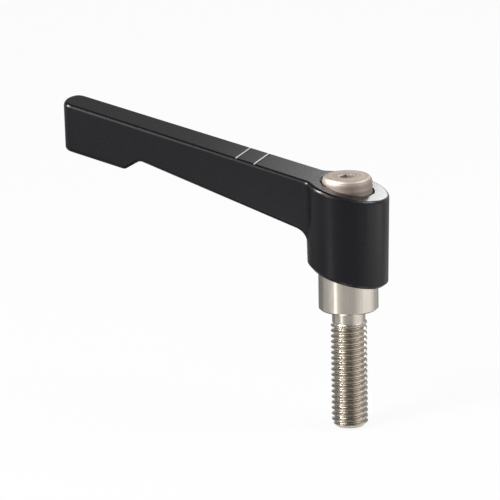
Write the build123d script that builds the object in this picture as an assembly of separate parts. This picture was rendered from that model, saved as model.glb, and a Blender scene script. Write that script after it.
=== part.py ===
from build123d import *
import math
import os

# Adjustable clamping lever with an M8 stud, in millimetres and degrees.
# The origin is the centre of the collar's seating face, +Z runs up the stud to the screw head,
# and +X runs from the hub out to the tip of the arm. The lever is shown seated: its serration
# is in mesh with the stud's, and the spring under the screw head holds it down.

# --- lever casting, outside ---------------------------------------------------------------------
arm_reach = 65.0            # stud axis to the end of the arm
arm_tilt = 13.35            # rise of the top face towards the tip
top_height = 27.55          # top face above the seat, on the stud axis
hub_bottom_height = 7.75    # hub underside above the seat, on the stud axis
hub_bottom_tilt = 15.5      # rise of the hub's underside towards the tip
hub_diameter = 19.05        # at the height of the arm's tip
casting_draft = 1.2         # outer walls narrow downwards
arm_root_width = 11.9       # across the arm at the stud axis, if it ran on through the hub
arm_tip_width = 9.2         # across the arm at its end
tip_crown = 1.2             # bulge of the end face
tip_corner_radius = 2.2     # corners of the end face, seen from above
tip_block_length = 14.85    # deep block at the end of the arm
tip_block_depth = 10.95     # block below the top face, along Z
arm_neck_depth = 7.9        # arm below the top face where it meets the block's step
arm_root_depth = 12.65      # arm below the top face at the stud axis, if it ran on through the hub
step_run = 3.6              # length of the slanted step along X
step_inner_radius = 1.7
step_outer_radius = 1.3
top_edge_radius = 0.75
arm_edge_radius = 1.1
hub_edge_chamfer = 0.8      # round the hub's underside
root_fillet_radius = 1.5    # where the arm runs into the hub
gusset_inset = 0.925        # foot of the gusset on the arm's underside, inside the hub's wall
gusset_slope = 70.0         # gusset from the horizontal
gusset_drop = 4.5           # gusset below its foot, where it ends inside the hub
gusset_radius = 3.5         # between the gusset and the arm's underside
line_spacing = 4.2          # two plain lines scored across the top face
line_reach = 19.5           # stud axis to the nearer line
line_width = 0.7
line_depth = 0.12

# --- lever casting, inside ----------------------------------------------------------------------
web_thickness = 1.5         # web between the serration and the spring's bore
bore_edge = 0.35            # edge break of the spring's bore
collar_clearance = 0.15     # radial, counterbore round the collar
head_clearance = 0.2        # radial, spring's bore round the screw head
shoulder_clearance = 0.1    # radial, web round the screw's shoulder
boss_end_gap = 0.3          # web above the stud's boss

# --- stud ---------------------------------------------------------------------------------------
thread_diameter = 8.0       # major diameter
stud_length = 26.5          # below the seating face
stud_end_chamfer = 0.95
neck_diameter = 7.3
neck_length = 2.7
collar_diameter = 13.1
collar_height = 11.2
collar_edge = 0.3
boss_edge = 0.3
shank_clearance = 0.03      # radial, tapped hole round the screw's shank
tapped_hole_extra = 2.0     # hole below the shank's end

# --- serration between stud and lever -----------------------------------------------------------
tooth_count = 24
tooth_tip_diameter = 11.4
tooth_depth = 0.6
tooth_length = 3.4
tooth_clearance = 0.06      # radial, between the two serrations
tooth_root_share = 0.36     # of the pitch, from a tooth's middle to the foot of its flank
tooth_tip_share = 0.10      # of the pitch, half the flat on a tooth's tip

# --- retaining screw ----------------------------------------------------------------------------
head_diameter = 11.0
head_top_diameter = 9.6     # flat top inside the rounded edge
head_top_height = 29.8
head_height = 4.8
head_edge_rise = 1.2        # height of the rounded edge
socket_width = 3.0          # across flats
socket_depth = 2.4
socket_mouth = 3.9          # diameter of the countersink over the socket
socket_mouth_angle = 120.0
shoulder_diameter = 6.0
shank_diameter = 5.0
shank_length = 8.0
shank_chamfer = 0.5

# --- spring -------------------------------------------------------------------------------------
wire_diameter = 0.8
coil_diameter = 9.0         # to the middle of the wire
coil_turns = 4.5
runs_per_turn = 12          # straight runs that stand for one turn
wire_flats = 8              # flats round the wire
spring_end_gap = 0.03       # between each end of the coil and its seat

# --- heights that follow ------------------------------------------------------------------------
rise = math.tan(math.radians(arm_tilt))
boss_top = collar_height + tooth_length
web_bottom = boss_top + boss_end_gap
web_top = web_bottom + web_thickness
head_bottom = head_top_height - head_height
tip_height = top_height + rise * arm_reach


def round_bar(diameter, z_low, z_high):
    """Round bar about the stud axis between two heights."""
    return Pos(0, 0, z_low) * extrude(Circle(diameter / 2), z_high - z_low)


def turned(*profile):
    """Solid turned about the stud axis from (radius, height) points that start and end on it."""
    return revolve(make_face(Plane.XZ * Polyline(*profile, close=True)), Axis.Z)


def above_slant(height, tilt):
    """Everything over the plane that rises towards the tip and crosses the axis at this height."""
    size = 4 * arm_reach
    block = Box(size, size, size, align=(Align.CENTER, Align.CENTER, Align.MIN))
    return Pos(0, 0, height) * Rot(0, -tilt, 0) * block


def serration(tip_diameter, z_low, z_high):
    """Round bar with straight V teeth all round, flat at their tips and roots."""
    tip = tip_diameter / 2
    root = tip - tooth_depth
    corners = (
        (root, -tooth_root_share),
        (tip, -tooth_tip_share),
        (tip, tooth_tip_share),
        (root, tooth_root_share),
    )
    points = []
    for tooth in range(tooth_count):
        for radius, share in corners:
            angle = 2 * math.pi * (tooth + share) / tooth_count
            points.append((radius * math.cos(angle), radius * math.sin(angle)))
    profile = make_face(Polyline(*points, close=True))
    return Pos(0, 0, z_low) * extrude(profile, z_high - z_low)


def drafted(plan):
    """Outline drawn at the tip's height, run down to the seat with the casting's draft."""
    drawn_at = Plane.XY.offset(tip_height)
    blank = extrude(drawn_at * plan, -tip_height)
    walls = [face for face in blank.faces() if abs(face.normal_at().Z) < 0.1]
    return draft(walls, drawn_at, -casting_draft)


def arm_plan():
    """Outline of the arm from above: it narrows to a crowned end with round corners."""
    end = arm_reach - tip_crown
    root, tip = arm_root_width / 2, arm_tip_width / 2
    outline = (
        Polyline((end, tip), (0, root), (0, -root), (end, -tip))
        + ThreePointArc((end, -tip), (arm_reach, 0), (end, tip))
    )
    plan = make_face(outline)
    return fillet(plan.vertices().group_by(Axis.X)[-1], tip_corner_radius)


def arm_side():
    """Outline of the arm from the side, up past its top face: gusset, neck, step and tip block."""
    block_start = arm_reach - tip_block_length
    step_start = block_start - step_run
    taper = (arm_root_depth - arm_neck_depth) / step_start
    gusset_foot = hub_diameter / 2 - gusset_inset
    gusset_depth = arm_root_depth - taper * gusset_foot
    gusset_run = gusset_drop / math.tan(math.radians(gusset_slope))

    def below_top(x, depth):
        return (x, top_height + rise * x - depth)

    gusset_x, gusset_z = below_top(gusset_foot, gusset_depth)
    inside = gusset_z - gusset_drop
    underside = FilletPolyline(
        (gusset_x - gusset_run, inside),
        (gusset_x, gusset_z),
        below_top(step_start, arm_neck_depth),
        below_top(block_start, tip_block_depth),
        below_top(arm_reach, tip_block_depth),
        radius=[gusset_radius, step_inner_radius, step_outer_radius],
    )
    over_top = Polyline(
        underside @ 1, (arm_reach, tip_height), (0, tip_height), (0, inside), underside @ 0
    )
    return make_face(underside + over_top)


def arm_blank():
    """The arm alone, still tall at the top, with the edges of its underside rounded."""
    arm = drafted(arm_plan()) & extrude(Plane.XZ * arm_side(), arm_root_width, both=True)
    underside = [face for face in arm.faces() if face.normal_at().Z < -0.2]
    walls = [face for face in arm.faces() if abs(face.normal_at().Z) < 0.1]
    wall_edges = ShapeList(edge for face in walls for edge in face.edges())
    rim = [edge for face in underside for edge in face.edges() if edge in wall_edges]
    rim = [edge for edge in rim if edge.center().X > hub_diameter / 4]
    return fillet(rim, arm_edge_radius)


def lever_outside():
    """Arm and hub as one rounded solid, with the slanted top and bottom faces."""
    arm = arm_blank()
    hub = drafted(Circle(hub_diameter / 2)) & above_slant(hub_bottom_height, hub_bottom_tilt)
    body = arm + hub
    body = fillet(new_edges(arm, hub, combined=body), root_fillet_radius)
    body -= above_slant(top_height, arm_tilt)
    top_face = body.faces().sort_by(Axis.Z)[-1]
    body = fillet(top_face.outer_wire().edges(), top_edge_radius)
    hub_underside = body.faces().sort_by(Axis.Z)[0]
    return chamfer(hub_underside.outer_wire().edges(), hub_edge_chamfer)


def scored_line(reach):
    """Round-bottomed cutter lying across the arm's top face."""
    radius = (line_width**2 / 4 + line_depth**2) / (2 * line_depth)
    over_face = radius - line_depth
    cutter = Rot(90, 0, 0) * Cylinder(radius, 2 * arm_root_width)
    lift = Rot(0, -arm_tilt, 0) * Pos(0, 0, over_face)
    return Pos(reach, 0, top_height + rise * reach) * lift * cutter


def make_lever():
    """Casting with the counterbore, the serration, the web and the spring's bore inside."""
    lever = lever_outside()
    lever -= round_bar(collar_diameter + 2 * collar_clearance, 0, collar_height)
    lever -= serration(tooth_tip_diameter + 2 * tooth_clearance, collar_height, web_bottom)
    lever -= round_bar(shoulder_diameter + 2 * shoulder_clearance, web_bottom, web_top)
    lever -= round_bar(head_diameter + 2 * head_clearance, web_top, tip_height)
    top_face = max(lever.faces().filter_by(GeomType.PLANE), key=lambda face: face.area * face.normal_at().Z)
    lever = chamfer(top_face.inner_wires()[0].edges(), bore_edge)
    for line in range(2):
        lever -= scored_line(line_reach + line * line_spacing)
    return lever


def make_stud():
    """Thread at its major diameter, plain neck, collar, serrated boss and tapped hole."""
    thread, neck, collar = thread_diameter / 2, neck_diameter / 2, collar_diameter / 2
    stud = turned(
        (0, -stud_length),
        (thread - stud_end_chamfer, -stud_length),
        (thread, stud_end_chamfer - stud_length),
        (thread, -neck_length),
        (neck, -neck_length),
        (neck, 0),
        (collar - collar_edge, 0),
        (collar, collar_edge),
        (collar, collar_height),
        (0, collar_height),
    )
    boss = tooth_tip_diameter / 2
    boss_outline = turned(
        (0, collar_height),
        (boss, collar_height),
        (boss, boss_top - boss_edge),
        (boss - boss_edge, boss_top),
        (0, boss_top),
    )
    stud += serration(tooth_tip_diameter, collar_height, boss_top) & boss_outline
    hole = shank_diameter / 2 + shank_clearance
    hole_end = boss_top - shank_length - tapped_hole_extra
    return stud - round_bar(2 * hole, hole_end, boss_top)


def make_screw():
    """Shoulder screw: round-edged head with a hex socket, plain shoulder and threaded shank."""
    head, flat = head_diameter / 2, head_top_diameter / 2
    shoulder, shank = shoulder_diameter / 2, shank_diameter / 2
    edge_foot = head_top_height - head_edge_rise
    shank_end = boss_top - shank_length
    profile = (
        Polyline(
            (0, head_top_height),
            (0, shank_end),
            (shank - shank_chamfer, shank_end),
            (shank, shank_end + shank_chamfer),
            (shank, boss_top),
            (shoulder, boss_top),
            (shoulder, head_bottom),
            (head, head_bottom),
            (head, edge_foot),
        )
        + TangentArc((head, edge_foot), (flat, head_top_height), tangent=(0, 1))
        + Line((flat, head_top_height), (0, head_top_height))
    )
    screw = revolve(make_face(Plane.XZ * profile), Axis.Z)
    hexagon = RegularPolygon(socket_width / 2, 6, major_radius=False)
    screw -= Pos(0, 0, head_top_height - socket_depth) * extrude(hexagon, socket_depth)
    mouth = socket_mouth / 2
    tip = head_top_height - mouth / math.tan(math.radians(socket_mouth_angle / 2))
    return screw - turned((0, tip), (mouth, head_top_height), (0, head_top_height))


def make_spring():
    """Coil of wire between the web and the screw head, in short straight runs with flats."""
    runs = round(coil_turns * runs_per_turn)
    lowest = web_top + spring_end_gap + wire_diameter / 2
    highest = head_bottom - spring_end_gap - wire_diameter / 2
    climb = (highest - lowest) / runs
    points = []
    for run in range(runs + 1):
        angle = 2 * math.pi * run / runs_per_turn
        across = Vector(math.cos(angle), math.sin(angle), 0) * coil_diameter / 2
        points.append(across + Vector(0, 0, lowest + run * climb))
    path = Polyline(*points)
    outward = points[0] + points[1] - Vector(0, 0, points[0].Z + points[1].Z)
    flats = RegularPolygon(wire_diameter / 2, wire_flats, major_radius=False, rotation=180 / wire_flats)
    section = Plane(origin=path @ 0, x_dir=outward, z_dir=path % 0) * flats
    return sweep(section, path=path, transition=Transition.RIGHT)


def main():
    os.makedirs("parts", exist_ok=True)
    export_step(make_lever(), "parts/lever.step")
    export_step(make_stud(), "parts/threaded_stud.step")
    export_step(make_screw(), "parts/retaining_screw.step")
    export_step(make_spring(), "parts/compression_spring.step")


if __name__ == "__main__":
    main()
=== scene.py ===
import bmesh
import bpy
import math
from mathutils import Matrix, Vector


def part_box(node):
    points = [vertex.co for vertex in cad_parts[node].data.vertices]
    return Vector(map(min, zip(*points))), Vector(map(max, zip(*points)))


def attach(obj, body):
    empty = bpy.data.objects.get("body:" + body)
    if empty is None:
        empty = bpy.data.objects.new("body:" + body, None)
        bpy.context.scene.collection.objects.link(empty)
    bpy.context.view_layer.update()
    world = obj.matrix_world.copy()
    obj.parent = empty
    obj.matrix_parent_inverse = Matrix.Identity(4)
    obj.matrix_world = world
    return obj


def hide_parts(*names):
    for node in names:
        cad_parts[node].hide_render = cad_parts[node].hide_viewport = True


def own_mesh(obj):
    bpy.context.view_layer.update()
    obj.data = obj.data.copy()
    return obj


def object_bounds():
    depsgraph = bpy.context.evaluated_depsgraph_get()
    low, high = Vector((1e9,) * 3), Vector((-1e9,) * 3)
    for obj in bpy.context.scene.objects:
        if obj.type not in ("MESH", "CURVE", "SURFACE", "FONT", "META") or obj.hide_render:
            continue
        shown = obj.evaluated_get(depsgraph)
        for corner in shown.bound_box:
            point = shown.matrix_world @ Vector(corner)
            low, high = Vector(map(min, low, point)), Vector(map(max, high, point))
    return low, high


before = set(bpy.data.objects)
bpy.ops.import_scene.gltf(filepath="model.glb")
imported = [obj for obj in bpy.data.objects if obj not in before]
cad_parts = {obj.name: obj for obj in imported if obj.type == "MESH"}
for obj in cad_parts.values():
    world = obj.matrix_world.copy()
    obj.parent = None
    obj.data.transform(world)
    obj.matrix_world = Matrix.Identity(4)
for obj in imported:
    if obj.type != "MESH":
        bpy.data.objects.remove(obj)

cad_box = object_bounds()

MM = 0.001
UP = Vector((0, 0, 1))

# --- camera: an almost parallel view from the tip's side, a little above ---
VIEW_AZIMUTH = 200.0        # degrees, 0 looks along +Y
VIEW_ELEVATION = 15.1
VIEW_ROLL = -0.9
VIEW_DISTANCE = 1.5         # metres
VIEW_WIDTH = 109.05 * MM    # across the picture, at the distance of its centre
VIEW_CENTRE = Vector((21.175, 4.112, 12.517)) * MM

# --- places that lamps and cards face, besides the view's centre ---
HUB_TOP = Vector((-3, -2, 37)) * MM
ARM_TIP = VIEW_CENTRE + Vector((35, 0, 25)) * MM
THREAD_MIDDLE = Vector((0, 0, -12)) * MM

# --- thread ---
THREAD_RADIUS = 3.97 * MM
THREAD_PITCH = 1.25 * MM
THREAD_DEPTH = 0.68 * MM    # crest to the start of the round root
ROOT_ROUND = 0.06 * MM      # the round root goes this much deeper
GROOVE_SHADE_DEPTH = 0.65          # share of the groove's depth where the painted shade starts
THREAD_PHASE = 0.16         # share of a pitch that the helix is moved up
THREAD_TOP = -2.72 * MM     # just under the end of the neck
NECK_RADIUS = 3.65 * MM
CREST_RUN_OUT = 0.30 * MM   # length over which the crest rises from the neck
ROOT_RUN_OUT = 0.90 * MM    # length over which the groove sinks from the neck
END_RADIUS = 3.05 * MM      # flat end inside its chamfer
THREAD_COLUMNS = 72         # round one turn
FLANK_STEPS = 6             # along one flank

# --- spring ---
WIRE_RADIUS = 0.4 * MM
COIL_RADIUS = 4.5 * MM      # to the middle of the wire
COIL_TURNS = 4.5
CLOSING = 0.35              # how much slower the coil rises at its ends, as a share
GROUND_SHARE = 0.55         # part of the wire's radius that is left under its axis at each end
COIL_STEPS = 32             # along one turn
WIRE_SIDES = 12


def smooth_share(value, start, end):
    """0 before start, 1 after end, and a smooth rise between."""
    share = min(max((value - start) / (end - start), 0.0), 1.0)
    return share * share * (3 - 2 * share)


# ------------------------------------------------------------------------------------ materials
class Surface:
    """A Principled material with short calls for the nodes that feed it."""

    def __init__(self, name, colour, metallic, roughness, specular=0.5):
        self.material = bpy.data.materials.new(name)
        self.material.use_nodes = True
        self.nodes = self.material.node_tree.nodes
        self.links = self.material.node_tree.links
        self.shader = self.nodes["Principled BSDF"]
        self.shader.inputs["Base Color"].default_value = (*colour, 1)
        self.shader.inputs["Metallic"].default_value = metallic
        self.shader.inputs["Roughness"].default_value = roughness
        self.shader.inputs["Specular IOR Level"].default_value = specular
        self.place = self.nodes.new("ShaderNodeTexCoord").outputs["Object"]
        self.normal = None

    def noise(self, grain, detail=2.0, stretch=(1, 1, 1), place=None):
        """Noise whose grain is this long in metres, pulled out along an axis by stretch."""
        mapping = self.nodes.new("ShaderNodeMapping")
        mapping.inputs["Scale"].default_value = [1 / (grain * pull) for pull in stretch]
        self.links.new(place or self.place, mapping.inputs["Vector"])
        noise = self.nodes.new("ShaderNodeTexNoise")
        noise.inputs["Scale"].default_value = 1.0
        noise.inputs["Detail"].default_value = detail
        self.links.new(mapping.outputs["Vector"], noise.inputs["Vector"])
        return noise.outputs["Fac"]

    def mapped(self, value, low, high, from_low=0.3, from_high=0.7):
        """A value stretched from its usual span onto low to high."""
        node = self.nodes.new("ShaderNodeMapRange")
        node.inputs["From Min"].default_value = from_low
        node.inputs["From Max"].default_value = from_high
        node.inputs["To Min"].default_value = low
        node.inputs["To Max"].default_value = high
        self.links.new(value, node.inputs["Value"])
        return node.outputs["Result"]

    def blend(self, share, colour_a, colour_b):
        """Colour that goes from a to b with share."""
        node = self.nodes.new("ShaderNodeMix")
        node.data_type = "RGBA"
        node.inputs["A"].default_value = (*colour_a, 1)
        node.inputs["B"].default_value = (*colour_b, 1)
        self.links.new(share, node.inputs["Factor"])
        return node.outputs["Result"]

    def bump(self, height, depth):
        """Adds relief this deep, in metres, over what is there already."""
        node = self.nodes.new("ShaderNodeBump")
        node.inputs["Strength"].default_value = 1.0
        node.inputs["Distance"].default_value = depth
        self.links.new(height, node.inputs["Height"])
        if self.normal is not None:
            self.links.new(self.normal, node.inputs["Normal"])
        self.normal = node.outputs["Normal"]
        self.links.new(self.normal, self.shader.inputs["Normal"])

    def rings(self):
        """Place as radius and height, the same all round the Z axis."""
        place = self.nodes.new("ShaderNodeCombineXYZ")
        self.links.new(self.part_of_place("radius"), place.inputs["X"])
        self.links.new(self.part_of_place("Z"), place.inputs["Z"])
        return place.outputs["Vector"]

    def part_of_place(self, name):
        """Object coordinate X, Y or Z, or the radius round the Z axis."""
        node = self.nodes.new("ShaderNodeSeparateXYZ")
        self.links.new(self.place, node.inputs["Vector"])
        if name != "radius":
            return node.outputs[name]
        flat = self.nodes.new("ShaderNodeCombineXYZ")
        self.links.new(node.outputs["X"], flat.inputs["X"])
        self.links.new(node.outputs["Y"], flat.inputs["Y"])
        length = self.nodes.new("ShaderNodeVectorMath")
        length.operation = "LENGTH"
        self.links.new(flat.outputs["Vector"], length.inputs[0])
        return length.outputs["Value"]

    def tinted(self, colour, tint):
        """One colour multiplied by another."""
        node = self.nodes.new("ShaderNodeMix")
        node.data_type = "RGBA"
        node.blend_type = "MULTIPLY"
        node.inputs["Factor"].default_value = 1.0
        self.links.new(colour, node.inputs["A"])
        self.links.new(tint, node.inputs["B"])
        return node.outputs["Result"]

    def times(self, value_a, value_b):
        """Product of two values."""
        node = self.nodes.new("ShaderNodeMath")
        node.operation = "MULTIPLY"
        self.links.new(value_a, node.inputs[0])
        self.links.new(value_b, node.inputs[1])
        return node.outputs[0]

    def feed(self, socket, value):
        """Links a value or colour to a socket of the shader."""
        self.links.new(value, self.shader.inputs[socket])


def powder_coat():
    """Black satin powder coat: fine grain over a soft orange peel."""
    coat = Surface("powder_coat", (0.005, 0.0047, 0.0052), 0.0, 0.27, specular=0.18)
    patches = coat.noise(3.0 * MM, detail=3)
    coat.feed("Base Color", coat.blend(patches, (0.0042, 0.0034, 0.0054), (0.0064, 0.0054, 0.0068)))
    coat.feed("Roughness", coat.mapped(coat.noise(0.3 * MM, detail=2), 0.255, 0.28))
    coat.bump(coat.noise(1.2 * MM, detail=1), 0.0012 * MM)
    coat.bump(coat.noise(0.20 * MM, detail=1), 0.0013 * MM)
    return coat.material


def turned_steel(end):
    """Stainless steel with a lathe's fine rings.

    Painted shade darkens the thread's grooves, apart from the stud's end, which is at this height.
    """
    steel = Surface("stainless_turned", (0.46, 0.425, 0.375), 1.0, 0.24)
    rings = steel.noise(0.05 * MM, detail=3, stretch=(40, 40, 1))
    streaks = steel.noise(0.4 * MM, detail=3, stretch=(1, 1, 12))
    steel.feed("Roughness", steel.mapped(streaks, 0.21, 0.27))
    tone = steel.noise(0.5 * MM, detail=3, stretch=(1, 1, 14))
    bright = steel.blend(tone, (0.42, 0.385, 0.335), (0.50, 0.465, 0.415))
    root = THREAD_RADIUS - THREAD_DEPTH - ROOT_ROUND
    unshaded_radius = THREAD_RADIUS - GROOVE_SHADE_DEPTH * THREAD_DEPTH
    depth = steel.mapped(steel.part_of_place("radius"), 1, 0, root, unshaded_radius)
    above_end = steel.mapped(steel.part_of_place("Z"), 0, 1, end + 0.2 * MM, end + 0.8 * MM)
    # painted shade: the base colour is darkened deep in the thread's grooves, where shade falls
    groove_shade = steel.blend(steel.times(depth, above_end), (1, 1, 1), (0.72, 0.68, 0.62))
    steel.feed("Base Color", steel.tinted(bright, groove_shade))
    steel.shader.inputs["Anisotropic"].default_value = 0.55
    steel.shader.inputs["Anisotropic Rotation"].default_value = 0.25
    tangent = steel.nodes.new("ShaderNodeTangent")
    tangent.direction_type = "RADIAL"
    tangent.axis = "Z"
    steel.links.new(tangent.outputs["Tangent"], steel.shader.inputs["Tangent"])
    steel.bump(rings, 0.0002 * MM)
    return steel.material


def head_steel():
    """Dull stainless steel of the screw head: turning rings under a fine blasted grain."""
    steel = Surface("stainless_head", (0.42, 0.36, 0.32), 1.0, 0.42)
    rings = steel.noise(0.32 * MM, detail=2, place=steel.rings())
    grain = steel.noise(0.22 * MM, detail=3)
    ring_tone = steel.mapped(rings, 0, 1, 0.36, 0.64)
    ringed = steel.blend(ring_tone, (0.195, 0.16, 0.137), (0.345, 0.292, 0.256))
    grained = steel.blend(grain, (0.85, 0.85, 0.85), (1, 1, 1))
    steel.feed("Base Color", steel.tinted(ringed, grained))
    steel.feed("Roughness", steel.mapped(grain, 0.54, 0.64))
    steel.bump(rings, 0.010 * MM)
    steel.bump(grain, 0.016 * MM)
    return steel.material


def spring_steel():
    """Drawn wire: fine scratches along the coil's turns."""
    wire = Surface("spring_wire", (0.50, 0.49, 0.47), 1.0, 0.30)
    wire.feed("Roughness", wire.mapped(wire.noise(0.3 * MM, detail=3), 0.24, 0.38))
    wire.bump(wire.noise(0.04 * MM, detail=2, stretch=(10, 10, 1)), 0.002 * MM)
    return wire.material


def dress(node, material):
    """Gives a CAD node its material."""
    for material_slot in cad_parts[node].material_slots:
        material_slot.material = material


# ---------------------------------------------------------------------------------------- pieces
def add_piece(name, bm, material, crease=35.0):
    """Mesh object from bm, smooth apart from edges that turn by more than crease degrees."""
    mesh = bpy.data.meshes.new(name)
    bmesh.ops.recalc_face_normals(bm, faces=bm.faces)
    bm.to_mesh(mesh)
    bm.free()
    if "custom_normal" in mesh.attributes:      # a CAD mesh's own, which no longer fit
        mesh.attributes.remove(mesh.attributes["custom_normal"])
    mesh.materials.append(material)
    mesh.shade_smooth()
    mesh.set_sharp_from_angle(angle=math.radians(crease))
    piece = bpy.data.objects.new(name, mesh)
    bpy.context.scene.collection.objects.link(piece)
    return piece


def thread_profile():
    """One pitch of the thread, from crest to crest: (share of the pitch, depth under the crest)."""
    crest, flank_end = 1 / 16, 3 / 8    # half the flat crest, and the flank's end
    flank = [crest + (flank_end - crest) * step / FLANK_STEPS for step in range(FLANK_STEPS + 1)]
    half = [(0.0, 0.0), (crest * 0.7, 0.0)]
    half += [(share, THREAD_DEPTH * (share - crest) / (flank_end - crest)) for share in flank]
    half += [(flank_end + 0.06, THREAD_DEPTH + ROOT_ROUND * 0.75)]      # on the root's round
    mirrored = [(1 - share, depth) for share, depth in reversed(half[1:])]
    return half + [(0.5, THREAD_DEPTH + ROOT_ROUND)] + mirrored


def thread_radius(height, depth, end):
    """Radius at a height: crest less depth, run out into the neck above and chamfered below."""
    below_neck = THREAD_TOP - height
    crest = NECK_RADIUS + (THREAD_RADIUS - NECK_RADIUS) * smooth_share(below_neck, 0, CREST_RUN_OUT)
    root_depth = THREAD_DEPTH + ROOT_ROUND
    sink = (NECK_RADIUS - THREAD_RADIUS + root_depth) * smooth_share(below_neck, 0, ROOT_RUN_OUT)
    root = NECK_RADIUS - sink
    radius = crest + (root - crest) * depth / root_depth
    return min(radius, END_RADIUS + height - end)


def add_threaded_stud():
    """The stud with a true helical thread: the CAD piece above its neck's end, the thread below."""
    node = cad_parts["threaded_stud"]
    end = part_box("threaded_stud")[0].z
    bm = bmesh.new()
    bm.from_mesh(node.data)
    bmesh.ops.remove_doubles(bm, verts=bm.verts, dist=1e-7)
    neck_foot = THREAD_TOP + 0.05 * MM
    below = [face for face in bm.faces if face.calc_center_median().z < neck_foot]
    bmesh.ops.delete(bm, geom=below, context="FACES")
    neck_rim = [edge for edge in bm.edges if edge.is_boundary]

    profile = thread_profile()
    turns = math.ceil((THREAD_TOP - end) / THREAD_PITCH) + 3
    columns = []            # each starts below the end and is cut off there, so that the end closes
    for column in range(THREAD_COLUMNS):
        angle = 2 * math.pi * column / THREAD_COLUMNS
        lead = THREAD_PITCH * column / THREAD_COLUMNS
        verts = []
        for turn in range(turns):
            for share, depth in profile:
                height = end + THREAD_PITCH * (turn - 2 + share + THREAD_PHASE) + lead
                height = min(max(height, end), THREAD_TOP)
                radius = thread_radius(height, depth, end)
                point = (radius * math.cos(angle), radius * math.sin(angle), height)
                verts.append(bm.verts.new(point))
        columns.append(verts)
    rows = turns * len(profile)
    for column, verts in enumerate(columns):
        after = columns[(column + 1) % THREAD_COLUMNS]
        climb = len(profile) if column == THREAD_COLUMNS - 1 else 0
        for row in range(rows - 1 - climb):
            bm.faces.new((verts[row], after[row + climb], after[row + 1 + climb], verts[row + 1]))
    thread_verts = [vert for verts in columns for vert in verts]
    bmesh.ops.remove_doubles(bm, verts=thread_verts, dist=1e-7)
    loose = [vert for vert in bm.verts if not vert.link_faces]
    bmesh.ops.delete(bm, geom=loose, context="VERTS")

    open_edges = [edge for edge in bm.edges if edge.is_boundary]
    end_rim = [edge for edge in open_edges if edge.verts[0].co.z < end + 0.01 * MM]
    bmesh.ops.edgeloop_fill(bm, edges=end_rim)
    thread_rim = [edge for edge in open_edges if edge not in end_rim and edge not in neck_rim]
    bmesh.ops.bridge_loops(bm, edges=neck_rim + thread_rim)
    piece = add_piece("stud_with_thread", bm, turned_steel(end))
    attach(piece, "stud")
    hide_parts("threaded_stud")


def add_coil_spring():
    """Round wire coiled close at both ends, where it is ground flat."""
    low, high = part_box("compression_spring")
    end_rise = WIRE_RADIUS * GROUND_SHARE
    steps = round(COIL_TURNS * COIL_STEPS)
    bm = bmesh.new()
    rings = []
    for step in range(steps + 1):
        share = step / steps
        angle = 2 * math.pi * COIL_TURNS * share
        lift = smooth_share(share, 0.02, 0.98) * CLOSING + share * (1 - CLOSING)
        centre_z = low.z + end_rise + (high.z - low.z - 2 * end_rise) * lift
        outward = Vector((math.cos(angle), math.sin(angle), 0))
        ring = []
        for side in range(WIRE_SIDES):
            turn = 2 * math.pi * side / WIRE_SIDES
            point = outward * (COIL_RADIUS + WIRE_RADIUS * math.cos(turn))
            point.z = min(max(centre_z + WIRE_RADIUS * math.sin(turn), low.z), high.z)
            ring.append(bm.verts.new(point))
        rings.append(ring)
    for ring, after in zip(rings, rings[1:]):
        for side in range(WIRE_SIDES):
            beyond = (side + 1) % WIRE_SIDES
            bm.faces.new((ring[side], ring[beyond], after[beyond], after[side]))
    bm.faces.new(rings[0])
    bm.faces.new(rings[-1])
    piece = add_piece("coiled_spring", bm, spring_steel(), crease=50.0)
    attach(piece, "spring")
    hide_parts("compression_spring")
    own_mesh(piece)


# ----------------------------------------------------------------------------------------- studio
def view_basis():
    """Camera's right, up and backward directions, without its roll."""
    azimuth, elevation = math.radians(VIEW_AZIMUTH), math.radians(VIEW_ELEVATION)
    right = Vector((math.cos(azimuth), math.sin(azimuth), 0))
    back = Vector((
        math.sin(azimuth) * math.cos(elevation),
        -math.cos(azimuth) * math.cos(elevation),
        math.sin(elevation),
    ))
    return right, back.cross(right), back


def add_camera():
    """Long lens from far off, turned a little about its axis."""
    right, up, back = view_basis()
    turn = Matrix((right, up, back)).transposed() @ Matrix.Rotation(math.radians(VIEW_ROLL), 3, "Z")
    data = bpy.data.cameras.new("camera")
    data.sensor_width = 36.0
    data.lens = data.sensor_width * VIEW_DISTANCE / VIEW_WIDTH
    data.clip_start = 0.05
    data.clip_end = 20.0
    camera = bpy.data.objects.new("camera", data)
    camera.matrix_world = Matrix.Translation(VIEW_CENTRE + back * VIEW_DISTANCE) @ turn.to_4x4()
    bpy.context.scene.collection.objects.link(camera)
    bpy.context.scene.camera = camera


def direction_to(side, height):
    """Unit vector out of the object: degrees to the camera's right, then degrees up."""
    right, _, back = view_basis()
    level_back = Vector((back.x, back.y, 0)).normalized()
    turn, tilt = math.radians(side), math.radians(height)
    level = level_back * math.cos(turn) + right * math.sin(turn)
    return level * math.cos(tilt) + UP * math.sin(tilt)


def softbox(name, side, height, distance, width, length, radiance, centre=VIEW_CENTRE):
    """Area lamp that faces its centre from this direction and distance, unseen by the camera."""
    data = bpy.data.lights.new(name, "AREA")
    data.shape = "RECTANGLE"
    data.size = width
    data.size_y = length
    data.energy = radiance * math.pi * width * length
    lamp = bpy.data.objects.new(name, data)
    lamp.location = centre + direction_to(side, height) * distance
    lamp.rotation_euler = direction_to(side, height).to_track_quat("Z", "Y").to_euler()
    lamp.visible_camera = False
    bpy.context.scene.collection.objects.link(lamp)
    return lamp


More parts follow.
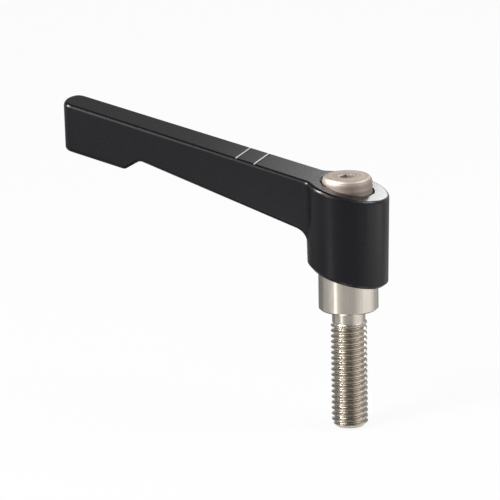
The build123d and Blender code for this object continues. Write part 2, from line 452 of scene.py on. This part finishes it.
def studio_card(name, corners, shade):
    """Card that shows in gloss alone: it casts no shadow and the camera doesn't see it."""
    mesh = bpy.data.meshes.new(name)
    bm = bmesh.new()
    bm.faces.new([bm.verts.new(corner) for corner in corners])
    bm.to_mesh(mesh)
    bm.free()
    material = bpy.data.materials.new(name)
    material.use_nodes = True
    nodes, links = material.node_tree.nodes, material.node_tree.links
    light = nodes.new("ShaderNodeEmission")
    light.inputs["Color"].default_value = (1, 1, 1, 1)
    light.inputs["Strength"].default_value = shade
    links.new(light.outputs["Emission"], nodes["Material Output"].inputs["Surface"])
    mesh.materials.append(material)
    card = bpy.data.objects.new(name, mesh)
    card.visible_camera = False
    card.visible_diffuse = False
    card.visible_shadow = False
    bpy.context.scene.collection.objects.link(card)


def hung_card(name, centre, side, height, distance, width, length, shade):
    """Card that faces its centre from this direction and distance."""
    away = direction_to(side, height)
    across = away.cross(UP).normalized() * width / 2
    along = away.cross(across).normalized() * length / 2
    middle = centre + away * distance
    corners = [middle + across * x + along * y for x, y in ((-1, -1), (1, -1), (1, 1), (-1, 1))]
    studio_card(name, corners, shade)


def floor_card(name, side_from, side_to, near, far, shade):
    """Wedge of the floor round the stud, between two directions and two distances."""
    sides = [side_from + (side_to - side_from) * step / 8 for step in range(9)]
    corners = [direction_to(side, 0) * far for side in sides]
    corners += [direction_to(side, 0) * near for side in reversed(sides)]
    low = Vector((0, 0, cad_box[0].z - 0.2 * MM))
    studio_card(name, [corner + low for corner in corners], shade)


def background_rays(nodes, links):
    """1 for camera, glossy and transmission rays, 0 for the rest."""
    path = nodes.new("ShaderNodeLightPath")
    total = path.outputs["Is Camera Ray"]
    for name in ("Is Glossy Ray", "Is Transmission Ray"):
        add = nodes.new("ShaderNodeMath")
        add.operation = "MAXIMUM"
        links.new(total, add.inputs[0])
        links.new(path.outputs[name], add.inputs[1])
        total = add.outputs[0]
    return total


def add_world(fill):
    """Even white world that lights at fill, and is plain white where it is seen or mirrored."""
    world = bpy.data.worlds.new("studio")
    world.use_nodes = True
    nodes, links = world.node_tree.nodes, world.node_tree.links
    backdrop = nodes["Background"]
    backdrop.inputs["Color"].default_value = (1, 1, 1, 1)
    strength = nodes.new("ShaderNodeMapRange")
    strength.inputs["To Min"].default_value = fill
    strength.inputs["To Max"].default_value = 1.0
    links.new(background_rays(nodes, links), strength.inputs["Value"])
    links.new(strength.outputs["Result"], backdrop.inputs["Strength"])
    bpy.context.scene.world = world


def add_floor(size, glow):
    """White floor under the stud's end, part of it glowing to the camera, so its shadow stays."""
    low = cad_box[0]
    mesh = bpy.data.meshes.new("floor")
    bm = bmesh.new()
    bmesh.ops.create_grid(bm, x_segments=1, y_segments=1, size=size)
    bm.to_mesh(mesh)
    bm.free()
    floor = bpy.data.objects.new("floor", mesh)
    floor.location = (0, 0, low.z - 0.5 * MM)
    bpy.context.scene.collection.objects.link(floor)
    material = bpy.data.materials.new("floor_white")
    material.use_nodes = True
    nodes, links = material.node_tree.nodes, material.node_tree.links
    matt = nodes["Principled BSDF"]
    matt.inputs["Base Color"].default_value = (0.85, 0.85, 0.85, 1)
    matt.inputs["Roughness"].default_value = 1.0
    matt.inputs["Specular IOR Level"].default_value = 0.0
    light = nodes.new("ShaderNodeEmission")
    share = nodes.new("ShaderNodeMath")
    share.operation = "MULTIPLY"
    share.inputs[1].default_value = glow
    links.new(background_rays(nodes, links), share.inputs[0])
    mix = nodes.new("ShaderNodeMixShader")
    links.new(share.outputs[0], mix.inputs["Fac"])
    links.new(matt.outputs["BSDF"], mix.inputs[1])
    links.new(light.outputs["Emission"], mix.inputs[2])
    links.new(mix.outputs["Shader"], nodes["Material Output"].inputs["Surface"])
    mesh.materials.append(material)


def add_lamps():
    """Three softboxes for light, and three small ones that show in gloss alone, for glints."""
    softbox("lamp_left", -51, 14, 0.7, width=0.07, length=0.50, radiance=11)
    softbox("lamp_front_left", -44, 34, 0.7, width=0.24, length=0.52, radiance=6.5)
    softbox("lamp_right", 72, 32, 0.7, width=0.40, length=0.6, radiance=2.2)
    glints = (
        softbox("lamp_edge", -78, 38, 0.25, width=0.055, length=0.18, radiance=80),
        softbox("lamp_rim", 92, 44, 0.3, width=0.11, length=0.04, radiance=32),
        softbox("lamp_back", 161, 23, 0.134, width=0.04, length=0.046, radiance=11, centre=HUB_TOP),
    )
    for lamp in glints:
        lamp.visible_diffuse = False


def add_cards():
    """Grey cards above, behind and in front, and a floor that is darker near the stud."""
    hung_card("card_back", ARM_TIP, 190, 24, 0.30, width=0.26, length=0.24, shade=0.3)
    hung_card("card_above", VIEW_CENTRE, 215, 66, 0.40, width=0.56, length=0.44, shade=0.06)
    hung_card("card_thread", THREAD_MIDDLE, 160, 8, 0.06, width=0.05, length=0.045, shade=0.4)
    hung_card("card_front", VIEW_CENTRE, 0, 22, 0.55, width=0.36, length=0.42, shade=0.18)
    for near, far, front, left in (
        (0.005, 0.06, 0.36, 0.34),
        (0.06, 0.10, 0.75, 0.75),
        (0.10, 0.14, 0.90, 0.45),
        (0.14, 0.35, 0.65, 0.75),
    ):
        name = f"floor_{far * 1000:.0f}_mm"
        floor_card(name + "_front", -30, 28, near, far, front)
        floor_card(name + "_left", -112, -68, near, far, left)
        floor_card(name + "_back_left", -165, -112, near, far, left * 0.5)
        floor_card(name + "_back_right", 112, 160, near, far, front * 0.9)
    floor_card("flank", -44, -30, 0.16, 0.35, shade=0.65)
    floor_card("bounce_left", -56, -46, 0.005, 0.16, shade=3.0)
    floor_card("bounce_right", 40, 95, 0.005, 0.14, shade=1.4)
    floor_card("bounce_far_right", 55, 105, 0.14, 0.26, shade=2.4)


bpy.context.scene.view_settings.view_transform = "Standard"
add_camera()
dress("lever", powder_coat())
dress("retaining_screw", head_steel())
add_threaded_stud()
add_coil_spring()
add_world(fill=0.6)
add_floor(size=3.0, glow=0.9)
add_lamps()
add_cards()
